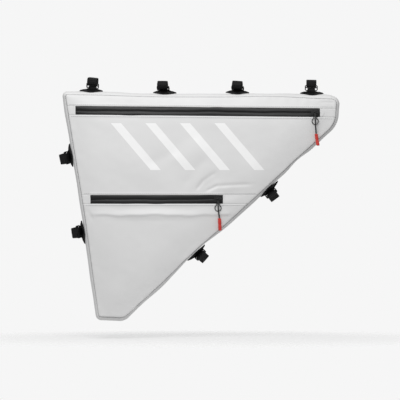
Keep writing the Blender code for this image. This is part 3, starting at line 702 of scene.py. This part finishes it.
def stitch_mesh(name, line, ahead):
    """Beads along a line: each a spindle of rings whose radius is the thread's times the root of 1 - t^2."""
    walked = np.concatenate([[0], np.cumsum(np.linalg.norm(np.diff(line, axis=0), axis=1))])
    starts = np.arange(STITCH_GAP, walked[-1] - STITCH, STITCH + STITCH_GAP)
    t = np.linspace(-1, 1, RINGS)
    spots = starts[:, None] + STITCH * (t + 1) / 2
    centre = np.stack([np.interp(spots, walked, line[:, k]) for k in range(3)], axis=-1)
    run = centre[:, -1] - centre[:, 0]
    run /= np.linalg.norm(run, axis=1)[:, None]
    side = np.cross(run, ahead)
    side /= np.linalg.norm(side, axis=1)[:, None]
    lift = np.cross(side, run)
    angle = np.linspace(0, 2 * np.pi, SPOKES, endpoint=False)
    radius = THREAD * np.sqrt(1 - TAPER * t**2)
    points = (
        centre[:, :, None]
        + radius[None, :, None, None] * np.cos(angle)[None, None, :, None] * side[:, None, None]
        + radius[None, :, None, None] * FLATNESS * np.sin(angle)[None, None, :, None] * lift[:, None, None]
    )
    index = np.arange(RINGS * SPOKES).reshape(RINGS, SPOKES)
    turned = np.roll(index, -1, axis=1)
    quads = np.stack([index[:-1], turned[:-1], turned[1:], index[1:]], -1).reshape(-1, 4)
    offsets = np.arange(len(starts))[:, None] * RINGS * SPOKES
    faces = (quads[None] + offsets[..., None]).reshape(-1, 4).tolist()
    for cap in (index[0][::-1], index[-1]):
        faces += (cap[None] + offsets).tolist()
    data = bpy.data.meshes.new(name)
    data.from_pydata(points.reshape(-1, 3), [], faces)
    data.shade_smooth()
    return data


def on_front(x, z):
    """Points on the dressed front at given x and z, a hair ahead of the cloth."""
    flat = np.stack([x, z], axis=-1)
    y = front_cloth(x, z, seam_distance(flat)) - THREAD * THREAD_SUNK
    return np.stack([x, y, z], axis=-1)


thread, thread_tree, thread_shader = new_material(
    "twisted grey sewing thread", "#B9BABB", 0.6, Sheen_Weight=0.2
)
twist_place = add_node(thread_tree, "ShaderNodeTexCoord").outputs["Object"]
twist = add_node(
    thread_tree, "ShaderNodeTexWave", {"Vector": twist_place, "Scale": 900.0}, bands_direction="DIAGONAL"
)
emboss(thread_tree, thread_shader, twist.outputs["Fac"], 0.5, 0.0001)

toward = np.array([0.0, -1.0, 0.0])
for name, line, ends in ZIPS:
    for edge, side in (("upper", 1), ("lower", -1)):
        offset = side * (HALF_SLOT + HEM_WIDTH * STITCH_PLACE)
        left = on_seam(np.array([crossing(level(line, offset), True)]))[0][0] + HEM_MARGIN
        right = on_seam(np.array([crossing(level(line, offset), False)]))[0][0] - HEM_MARGIN
        x = np.linspace(left, right, HEM_POINTS)
        data = stitch_mesh(name + edge, on_front(x, line(x) + offset), toward)
        add_piece(name + "_zip_" + edge + "_stitches", data, thread, "laminate")


# Zips: two lips of matt black film over the closed teeth, meeting in a fine groove.
# The band waves a little, so its two halves catch the light in turn.
LIP_RISE, LIP_EDGE = 0.0009, 0.0010
ZIP_SINK, GROOVE_SINK, FILM = 0.0009, 0.0009, 0.0008
ZIP_CELL, ZIP_ROWS, ZIP_UNDER = 0.0020, 37, 0.002


def zip_mesh(name, line, ends):
    """Grid along the slot: two crowned lips with a groove between them, sunk behind the hems' edges."""
    columns = int((ends[1] - ends[0]) / ZIP_CELL)
    x = np.linspace(ends[0] - ZIP_UNDER, ends[1] + ZIP_UNDER, columns)[None, :]
    across_slot = np.linspace(-1, 1, ZIP_ROWS)[:, None]
    waved = 0.0004 * np.sin(x * 41 + 0.6) + 0.00025 * np.sin(x * 97)
    z = line(x) + across_slot * (HALF_SLOT + LIP_EDGE) + 0 * x
    groove = across_slot - waved / HALF_SLOT
    lips = LIP_RISE * (1 - np.abs(2 * np.abs(groove) - 1) ** 2.5)
    lips -= GROOVE_SINK * np.exp(-((groove / 0.075) ** 2))
    tilt = 0.00055 * np.sin(x * 23 + 1.0) * groove
    x = x + 0 * across_slot
    y = front_face(x, z) + ZIP_SINK - lips - tilt
    return grid_mesh(name, np.stack([x, y, z], axis=-1))


zip_film, film_tree, film_shader = new_material(
    "matt polyurethane film on zip tape", "#0D0D0E", 0.42, Specular_IOR_Level=0.4
)
film_place = add_node(film_tree, "ShaderNodeTexCoord").outputs["Object"]
grain = add_node(film_tree, "ShaderNodeTexNoise", {"Vector": film_place, "Scale": 900.0, "Detail": 3.0})
streaks = add_node(
    film_tree, "ShaderNodeMapRange",
    {"Value": grain.outputs["Fac"], "From Min": 0.3, "From Max": 0.7, "To Min": 0.36, "To Max": 0.52},
)
film_tree.links.new(streaks.outputs["Result"], film_shader.inputs["Roughness"])
emboss(film_tree, film_shader, grain.outputs["Fac"], 0.3, 0.0001)

for name, line, ends in ZIPS:
    data = zip_mesh(name + "_zip", line, ends)
    add_piece(name + "_zip", data, zip_film, "zip", name + "_zip", wall=FILM)


# Hardware: sliders and buckles of black acetal, rings of black painted wire given the same acetal material,
# kept as packed.
# The edges of sliders and buckles are rounded, and the moulded skin is finely grained.
acetal, acetal_tree, acetal_shader = new_material(
    "moulded black acetal", "#0B0B0C", 0.30, Specular_IOR_Level=0.5
)
acetal_place = add_node(acetal_tree, "ShaderNodeTexCoord").outputs["Object"]
skin = add_node(acetal_tree, "ShaderNodeTexNoise", {"Vector": acetal_place, "Scale": 1800.0, "Detail": 2.0})
emboss(acetal_tree, acetal_shader, skin.outputs["Fac"], 0.25, 0.0001)
patches = add_node(
    acetal_tree, "ShaderNodeMapRange",
    {"Value": skin.outputs["Fac"], "From Min": 0.3, "From Max": 0.7, "To Min": 0.30, "To Max": 0.46},
)
acetal_tree.links.new(patches.outputs["Result"], acetal_shader.inputs["Roughness"])
WELD_REACH, ROUNDING = 0.00005, 0.0005


def dress(name, material, width):
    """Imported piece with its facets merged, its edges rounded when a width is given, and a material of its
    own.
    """
    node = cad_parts[name]
    weld = node.modifiers.new("weld", "WELD")
    weld.merge_threshold = WELD_REACH
    if width:
        bevel = node.modifiers.new("edges", "BEVEL")
        bevel.width = width
        bevel.segments = 3
        bevel.limit_method = "ANGLE"
        bevel.harden_normals = False
    node.data.materials.clear()
    node.data.materials.append(material)


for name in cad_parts:
    if name.endswith(("_buckle", "_slider")):
        dress(name, acetal, ROUNDING)
    elif name.endswith("_pull_ring"):
        dress(name, acetal, 0.0)


# Pull grips: soft red sleeves shrunk over the cord's doubled end, with a pinched waist and a collar.
# A fine ribbing runs round them.
GRIP_RINGS, GRIP_SPOKES = 60, 28
GRIP_SHIFT = {"main": 0.0035, "pocket": 0.0012}
GRIP_LENGTH = {"main": 0.0220, "pocket": 0.0232}
GRIP_GAP, GRIP_STAND = 0.0003, 0.0005
sleeve, sleeve_tree, sleeve_shader = new_material(
    "soft red vinyl sleeve", "#D2352C", 0.5, Subsurface_Weight=0.05
)
sleeve_place = add_node(sleeve_tree, "ShaderNodeTexCoord").outputs["Object"]
mottle = add_node(sleeve_tree, "ShaderNodeTexNoise", {"Vector": sleeve_place, "Scale": 260.0, "Detail": 4.0})
reds = two_toned(sleeve_tree, mottle.outputs["Fac"], "#B3241E", "#E0453A")
sleeve_tree.links.new(reds, sleeve_shader.inputs["Base Color"])
ribs = add_node(
    sleeve_tree, "ShaderNodeTexWave", {"Vector": sleeve_place, "Scale": 420.0, "Distortion": 0.6},
    wave_type="BANDS", bands_direction="Z",
)
emboss(sleeve_tree, sleeve_shader, ribs.outputs["Fac"], 0.35, 0.0002)

for name in CORD_ROUTES:
    points = bpy.data.objects[name + "_cord"].data.splines[0].points
    end = np.array(points[-1].co[:3])
    t = np.linspace(0, 1, GRIP_RINGS)
    z = end[2] - GRIP_GAP - GRIP_LENGTH[name] * t
    x = end[0] + GRIP_SHIFT[name] * t
    y = front_face(x, z) - GRIP_STAND - GRIP_DIAMETER / 2
    centre = np.stack([x, y, z], axis=-1)
    ends_round = np.sqrt(np.clip(1 - (np.clip(np.abs(t - 0.5) - 0.44, 0, 1) / 0.0602) ** 2, 0, 1))
    waist = 1 - 0.14 * np.exp(-(((t - 0.52) / 0.07) ** 2)) - 0.10 * np.exp(-(((t - 0.16) / 0.05) ** 2))
    radius = GRIP_DIAMETER / 2 * np.maximum(ends_round, 0.02) * waist
    angle = np.linspace(0, 2 * np.pi, GRIP_SPOKES, endpoint=False)
    ring = np.stack([np.cos(angle), -np.sin(angle) * 0.9, 0 * angle], axis=-1)
    grid = centre[:, None] + radius[:, None, None] * ring[None]
    data = grid_mesh(name + "_grip", grid, around=True)
    add_piece(name + "_grip", data, sleeve, "grip", name + "_pull_grip")


# Strap tabs: black coated cloth sewn flat across the gusset and gathered round the buckle's lower bar.
# Webbing loops: ribbed black polyester webbing, sewn closed, hanging on the buckle's upper bar.
coated, coated_tree, coated_shader = new_material(
    "matt black coated cloth", "#060607", 0.62, Specular_IOR_Level=0.25
)
coated_place = add_node(coated_tree, "ShaderNodeTexCoord").outputs["Object"]
wrinkles = add_node(
    coated_tree, "ShaderNodeTexNoise", {"Vector": coated_place, "Scale": 240.0, "Detail": 5.0}
)
emboss(coated_tree, coated_shader, wrinkles.outputs["Fac"], 0.5, 0.0005)

RIBS_PER_WIDTH = 9
webbing, web_tree, web_shader = new_material(
    "ribbed polyester webbing", "#0A0A0B", 0.6, Specular_IOR_Level=0.3
)
web_place = add_node(web_tree, "ShaderNodeUVMap").outputs["UV"]
picks = add_node(
    web_tree, "ShaderNodeTexWave", {"Vector": web_place, "Scale": 14.0, "Distortion": 0.8},
    bands_direction="X",
)
warps = add_node(
    web_tree, "ShaderNodeTexWave",
    {"Vector": web_place, "Scale": RIBS_PER_WIDTH * WAVE_SCALE, "Distortion": 0.2},
    bands_direction="Y",
)
woven = add_node(
    web_tree, "ShaderNodeMath", {0: picks.outputs["Fac"], 1: warps.outputs["Fac"]}, operation="MULTIPLY"
)
emboss(web_tree, web_shader, woven.outputs[0], 0.6, 0.0004)
yarn_tone = two_toned(web_tree, woven.outputs[0], "#040405", "#101012")
web_tree.links.new(yarn_tone, web_shader.inputs["Base Color"])

# Mounts as packed: side, share along it, turn, lean and tilt in degrees, slide along the bar
MOUNTS = {
    "top_1": (0, 0.0935, -14.0, 5.0, 14.0, 0.0026),
    "top_2": (0, 0.3657, -10.0, 0.0, 46.0, -0.0026),
    "top_3": (0, 0.634, -10.0, 3.0, 48.0, 0.0008),
    "top_4": (0, 0.909, 0.0, 0.0, 8.0, -0.0012),
    "down_1": (2, 0.321, 0.0, 6.0, 42.0, 0.0028),
    "down_2": (2, 0.661, 0.0, -6.0, 44.0, -0.0028),
    "seat_1": (4, 0.730, -8.0, -3.0, 46.0, -0.0028),
    "seat_2": (4, 0.382, -8.0, 0.0, 50.0, 0.0028),
}
TAB_LENGTH, TAB_TIP, TAB_REACH = 0.0430, 0.0030, 0.0184
TAB_SHOULDER, TAB_NECK = 0.0190, 0.0146
TAB_RISE, TAB_CLOTH = 0.0058, 0.0010
HALF_BAR = 0.0028
SLOT_LOW, APEX = 0.0074, 0.0105
LOOP_LOW, LOOP_HIGH, LOOP_HALF_DEPTH, LOOP_CORNER = 0.0127, 0.0263, 0.0065, 0.0044
WEB_WIDTH, WEB_CLOTH = 0.0186, 0.0016
SIT_GAP = 0.0003
TAB_COLUMNS, TAB_ROWS, TAB_EASE, TAB_TURN_IN = 57, 97, 0.35, 0.0022
LOOP_STEPS, WEB_SPOKES, LAP_RISE = 120, 48, 0.0007


def mount_matrices(side, share, turn, lean, tilt, slide):
    """Frame on the gusset's highest line under the tab, and the turn of what hangs on the buckle's bar."""
    under = np.linspace(share - TAB_LENGTH / 2 / lengths[side], share + TAB_LENGTH / 2 / lengths[side], 9)
    height = np.max(CROWN * (BELLY[side] - dented(side, under, 4) - dented(side, under, 3))) + SIT_GAP
    place = corners[side] + along[side] * share * lengths[side] + outward[side] * height
    seat = np.eye(4)
    seat[:3, 0] = (along[side][0], 0, along[side][1])
    seat[:3, 2] = (outward[side][0], 0, outward[side][1])
    seat[:3, 3] = (place[0], 0, place[1])
    turned = Matrix.Translation((0, 0, TAB_RISE)) @ Matrix.Rotation(math.radians(turn), 4, "Z")
    turned = turned @ Matrix.Rotation(math.radians(lean), 4, "Y")
    turned = turned @ Matrix.Rotation(math.radians(tilt), 4, "X")
    return seat, np.array(turned @ Matrix.Translation((slide, 0, -TAB_RISE)))


def moved(matrix, points):
    """Points of a grid taken through a four by four matrix."""
    return points @ matrix[:3, :3].T + matrix[:3, 3]


def tab_grid(seat, turned, belly, seed):
    """Tab from arc foot through shoulder to neck and back down, joined smoothly, with shallow pleats."""
    across_tab = np.linspace(-1, 1, TAB_COLUMNS)
    reach = TAB_TIP + (TAB_REACH - TAB_TIP) * (1 - across_tab**2)
    inner_reach = np.maximum(reach - TAB_TURN_IN, TAB_TIP * 0.6)
    rows = []
    for sign in (-1, 1):
        half = []
        for depth in (reach, inner_reach):
            sag = belly * (1 - (1 - (depth / (HALF_DEPTH - BAND_INSET)) ** BAND_POWER) ** BAND_ROOT)
            foot = [TAB_LENGTH / 2 * across_tab, sign * depth, TAB_CLOTH + SIT_GAP - sag]
            half.append(np.stack(foot, axis=-1))
        for depth, height, half_width, follow in (
            (HALF_BAR + 0.0030, 0.0038, TAB_SHOULDER / 2 + 0.0035, 0.15),
            (HALF_BAR + 0.0003, TAB_RISE, TAB_NECK / 2, 1.0),
            (HALF_BAR, SLOT_LOW, TAB_NECK / 2 - 0.0002, 1.0),
            (HALF_BAR - 0.0005, APEX - 0.0006, TAB_NECK / 2 - 0.0002, 1.0),
            (HALF_BAR - 0.0014, APEX, TAB_NECK / 2 - 0.0002, 1.0),
        ):
            flat = np.stack(np.broadcast_arrays(half_width * across_tab, sign * depth, height), axis=-1)
            half.append(flat * (1 - follow) + moved(turned, flat) * follow)
        rows.append(half)
    keys = np.array(rows[0] + rows[1][::-1])
    steps = np.linspace(0, len(keys) - 1, TAB_ROWS)
    base = np.clip(steps.astype(int), 0, len(keys) - 2)
    t = (steps - base)[:, None, None]
    before, after = np.maximum(base - 1, 0), np.minimum(base + 2, len(keys) - 1)
    slope0 = (keys[base + 1] - keys[before]) * TAB_EASE
    slope1 = (keys[after] - keys[base]) * TAB_EASE
    grid = (
        (2 * t**3 - 3 * t**2 + 1) * keys[base] + (t**3 - 2 * t**2 + t) * slope0
        + (3 * t**2 - 2 * t**3) * keys[base + 1] + (t**3 - t**2) * slope1
    )
    run = np.linspace(0, 1, TAB_ROWS)[:, None]
    gather = np.exp(-(((np.minimum(run, 1 - run) - 0.20) / 0.07) ** 2))
    pleat = 0.00045 * np.sin(across_tab * 15 + seed) + 0.0003 * np.sin(across_tab * 27 + 2 * seed)
    lift = (gather * pleat[None])[..., None]
    return moved(seat, grid + lift * np.array([0.0, 0.0, 1.0]) * (1 - across_tab[None, :, None] ** 4))


def loop_grid():
    """Ring of webbing: a rounded box walked round, its cross-section a flat with round selvedges."""
    quarter = np.linspace(0, np.pi / 2, 9)
    corner = LOOP_CORNER - WEB_CLOTH / 2
    half_depth = LOOP_HALF_DEPTH - WEB_CLOTH / 2
    low, high = LOOP_LOW + WEB_CLOTH / 2, LOOP_HIGH - WEB_CLOTH / 2
    path, facing = [], []
    for turn, (cy, cz) in enumerate((
        (half_depth - corner, high - corner), (corner - half_depth, high - corner),
        (corner - half_depth, low + corner), (half_depth - corner, low + corner),
    )):
        angle = quarter + turn * np.pi / 2
        facing.append(np.stack([np.cos(angle), np.sin(angle)], axis=-1))
        path.append(np.array([cy, cz]) + corner * facing[-1])
    path, facing = np.vstack(path), np.vstack(facing)
    closed = np.vstack([path, path[:1]])
    walked = np.concatenate([[0], np.cumsum(np.linalg.norm(np.diff(closed, axis=0), axis=1))])
    wanted = np.linspace(0, walked[-1], LOOP_STEPS, endpoint=False)
    faced = np.vstack([facing, facing[:1]])
    path = np.stack([np.interp(wanted, walked, closed[:, k]) for k in (0, 1)], axis=-1)
    facing = np.stack([np.interp(wanted, walked, faced[:, k]) for k in (0, 1)], axis=-1)
    facing /= np.linalg.norm(facing, axis=1)[:, None]
    share = wanted / walked[-1]
    lap = np.clip((share - 0.40) / 0.012, 0, 1) * np.clip((0.60 - share) / 0.012, 0, 1)
    angle = np.linspace(0, 2 * np.pi, WEB_SPOKES, endpoint=False)
    wide = np.sign(np.cos(angle)) * np.abs(np.cos(angle)) ** 0.35
    thick = np.sign(np.sin(angle)) * np.abs(np.sin(angle)) ** 0.5
    bulge = 0.00006 * np.cos(wide * np.pi * RIBS_PER_WIDTH)
    lapped = LAP_RISE * (lap[:, None] * (thick[None] > 0))
    out = WEB_CLOTH / 2 * thick[None] + bulge[None] * np.sign(thick)[None] + lapped
    grid = np.zeros((LOOP_STEPS, WEB_SPOKES, 3))
    grid[..., 0] = WEB_WIDTH / 2 * wide[None]
    grid[..., 1] = path[:, None, 0] + facing[:, None, 0] * out
    grid[..., 2] = path[:, None, 1] + facing[:, None, 1] * out
    uv = np.stack(np.broadcast_arrays(share[:, None] * 4, (wide[None] + 1) / 2), axis=-1)
    return grid, uv


def ring_mesh(name, grid, uv):
    """Mesh of a grid closed along its rows and its columns."""
    rows, columns = grid.shape[:2]
    index = np.arange(rows * columns).reshape(rows, columns)
    right, down = np.roll(index, -1, axis=1), np.roll(index, -1, axis=0)
    quads = np.stack([index, right, np.roll(right, -1, axis=0), down], axis=-1).reshape(-1, 4)
    data = bpy.data.meshes.new(name)
    data.from_pydata(grid.reshape(-1, 3), [], quads)
    layer = data.uv_layers.new(name="UVMap")
    layer.data.foreach_set("uv", uv.reshape(-1, 2)[quads.ravel()].ravel())
    data.shade_smooth()
    return data


black_thread, black_tree, black_shader = new_material("black sewing thread", "#343437", 0.55)
black_place = add_node(black_tree, "ShaderNodeTexCoord").outputs["Object"]
tones = add_node(black_tree, "ShaderNodeTexNoise", {"Vector": black_place, "Scale": 700.0})
tone = two_toned(black_tree, tones.outputs["Fac"], "#1A1A1B", "#343437")
black_tree.links.new(tone, black_shader.inputs["Base Color"])

THREAD_PROUD = 0.0002
loop_points, loop_uv = loop_grid()
for number, (name, row) in enumerate(MOUNTS.items()):
    seat, turned = mount_matrices(*row)
    belly = CROWN * float(BELLY[row[0]] - dented(row[0], np.array([row[1]]), 4)[0])
    tab = tab_grid(seat, turned, belly, number * 1.7)
    data = grid_mesh(name + "_tab", tab)
    add_piece(name + "_tab", data, coated, "tab", name + "_tab", wall=TAB_CLOTH)
    for end, line in (("front", tab[7, 2:-2]), ("back", tab[-8, 2:-2])):
        data = stitch_mesh(name + end, line + THREAD_PROUD * seat[:3, 2], seat[:3, 2])
        add_piece(name + "_tab_" + end + "_stitches", data, black_thread, "tab")
    data = ring_mesh(name + "_strap", moved(seat, moved(turned, loop_points)), loop_uv)
    add_piece(name + "_strap", data, webbing, "webbing", name + "_strap")


# Seam thread on both faces, lying in the groove between panel and gusset.
# The thread is real, but its grey is darker than the cloth as painted shade: the dark line stands in for the
# groove's shadow.
seam_thread_painted_shade, seam_tree, seam_shader = new_material("dark grey seam thread", "#6E6F71", 0.7)
seam_place = add_node(seam_tree, "ShaderNodeTexCoord").outputs["Object"]
seam_noise = add_node(seam_tree, "ShaderNodeTexNoise", {"Vector": seam_place, "Scale": 120.0})
# The two dark greys are painted shade for the seam groove, with random tone between them.
seam_painted_shade_tone = two_toned(seam_tree, seam_noise.outputs["Fac"], "#5C5D5F", "#8E8F91")
seam_tree.links.new(seam_painted_shade_tone, seam_shader.inputs["Base Color"])
ring = seam + seam_normal * THREAD_PROUD
ring = np.vstack([ring, ring[:1]])
for name, face in (("front", -1.0), ("back", 1.0)):
    y = np.full(len(ring), face * (HALF_DEPTH - SEAM_SINK + THREAD_PROUD))
    line = np.stack([ring[:, 0], y, ring[:, 1]], axis=-1)
    data = stitch_mesh(name + "_seam", line, np.array([0.0, face, 0.0]))
    add_piece(name + "_seam_stitches", data, seam_thread_painted_shade, "laminate")


# Floor: a pale studio sheet 33 mm under the bag, which floats above it as in the picture.
# It is half clear under the bag and fades out round it, so only a soft shadow is left.
FLOOR_Z = -0.4570
FLOOR_RADIUS = 1.6
FLOOR_COVER, FLOOR_STRETCH = 0.5, 0.7
FADE_START, FADE_END = 0.16, 0.42

floor_data = bpy.data.meshes.new("floor")
floor_data.from_pydata(
    [(x * FLOOR_RADIUS, y * FLOOR_RADIUS, FLOOR_Z) for x, y in ((-1, -1), (1, -1), (1, 1), (-1, 1))],
    [], [(0, 1, 2, 3)],
)
floor = bpy.data.objects.new("floor", floor_data)
bpy.context.scene.collection.objects.link(floor)
paper, paper_tree, paper_shader = new_material("matt studio paper", "#F4F4F4", 0.9)
floor_place = add_node(paper_tree, "ShaderNodeTexCoord").outputs["Object"]
floor_parts = add_node(paper_tree, "ShaderNodeSeparateXYZ", {"Vector": floor_place})
floor_x = add_node(
    paper_tree, "ShaderNodeMath", {0: floor_parts.outputs["X"], 1: FLOOR_STRETCH}, operation="MULTIPLY"
)
floor_point = add_node(
    paper_tree, "ShaderNodeCombineXYZ", {"X": floor_x.outputs[0], "Y": floor_parts.outputs["Y"]}
)
floor_distance = add_node(
    paper_tree, "ShaderNodeVectorMath", {0: floor_point.outputs[0]}, operation="LENGTH"
)
floor_cover = add_node(
    paper_tree, "ShaderNodeMapRange",
    {"Value": floor_distance.outputs["Value"], "From Min": FADE_START, "From Max": FADE_END,
     "To Min": FLOOR_COVER, "To Max": 0.0},
    interpolation_type="SMOOTHSTEP",
)
paper_tree.links.new(floor_cover.outputs["Result"], paper_shader.inputs["Alpha"])
floor_data.materials.append(paper)


# Light: an even pale backdrop behind the bag, a brighter ceiling and a softbox above and in front.
# The surround is dimmer below and at the front, so the panel darkens towards its foot.
BACKGROUND = 0.922
SURROUND_LOW, SURROUND_HIGH = 0.40, 0.66
SOFTBOX_SIDE, SOFTBOX_WATTS = 0.7, 6.4
SOFTBOX_PLACE, SOFTBOX_AIM = (-0.15, -0.85, 0.50), (0.0, 0.0, -0.15)

world = bpy.data.worlds.new("studio")
bpy.context.scene.world = world
world.use_nodes = True
sky = world.node_tree
backdrop = sky.nodes["Background"]
heading = add_node(sky, "ShaderNodeTexCoord").outputs["Generated"]
compass = add_node(sky, "ShaderNodeSeparateXYZ", {"Vector": heading})
rise = add_node(
    sky, "ShaderNodeMapRange",
    {"Value": compass.outputs["Z"], "From Min": -0.4, "From Max": 0.9,
     "To Min": SURROUND_LOW, "To Max": SURROUND_HIGH},
    interpolation_type="SMOOTHSTEP",
)
behind = add_node(
    sky, "ShaderNodeMapRange", {"Value": compass.outputs["Y"], "From Min": 0.90, "From Max": 0.965},
    interpolation_type="SMOOTHSTEP",
)
shade = add_node(
    sky, "ShaderNodeMix", {"Factor": behind.outputs["Result"], "A": rise.outputs["Result"], "B": BACKGROUND}
)
sky.links.new(shade.outputs["Result"], backdrop.inputs["Color"])

softbox = bpy.data.objects.new("softbox", bpy.data.lights.new("softbox", "AREA"))
bpy.context.scene.collection.objects.link(softbox)
softbox.data.size = SOFTBOX_SIDE
softbox.data.energy = SOFTBOX_WATTS
softbox.location = SOFTBOX_PLACE
aim = Vector(SOFTBOX_AIM) - softbox.location
softbox.rotation_euler = aim.to_track_quat("-Z", "Y").to_euler()

bpy.context.scene.view_settings.view_transform = "Standard"
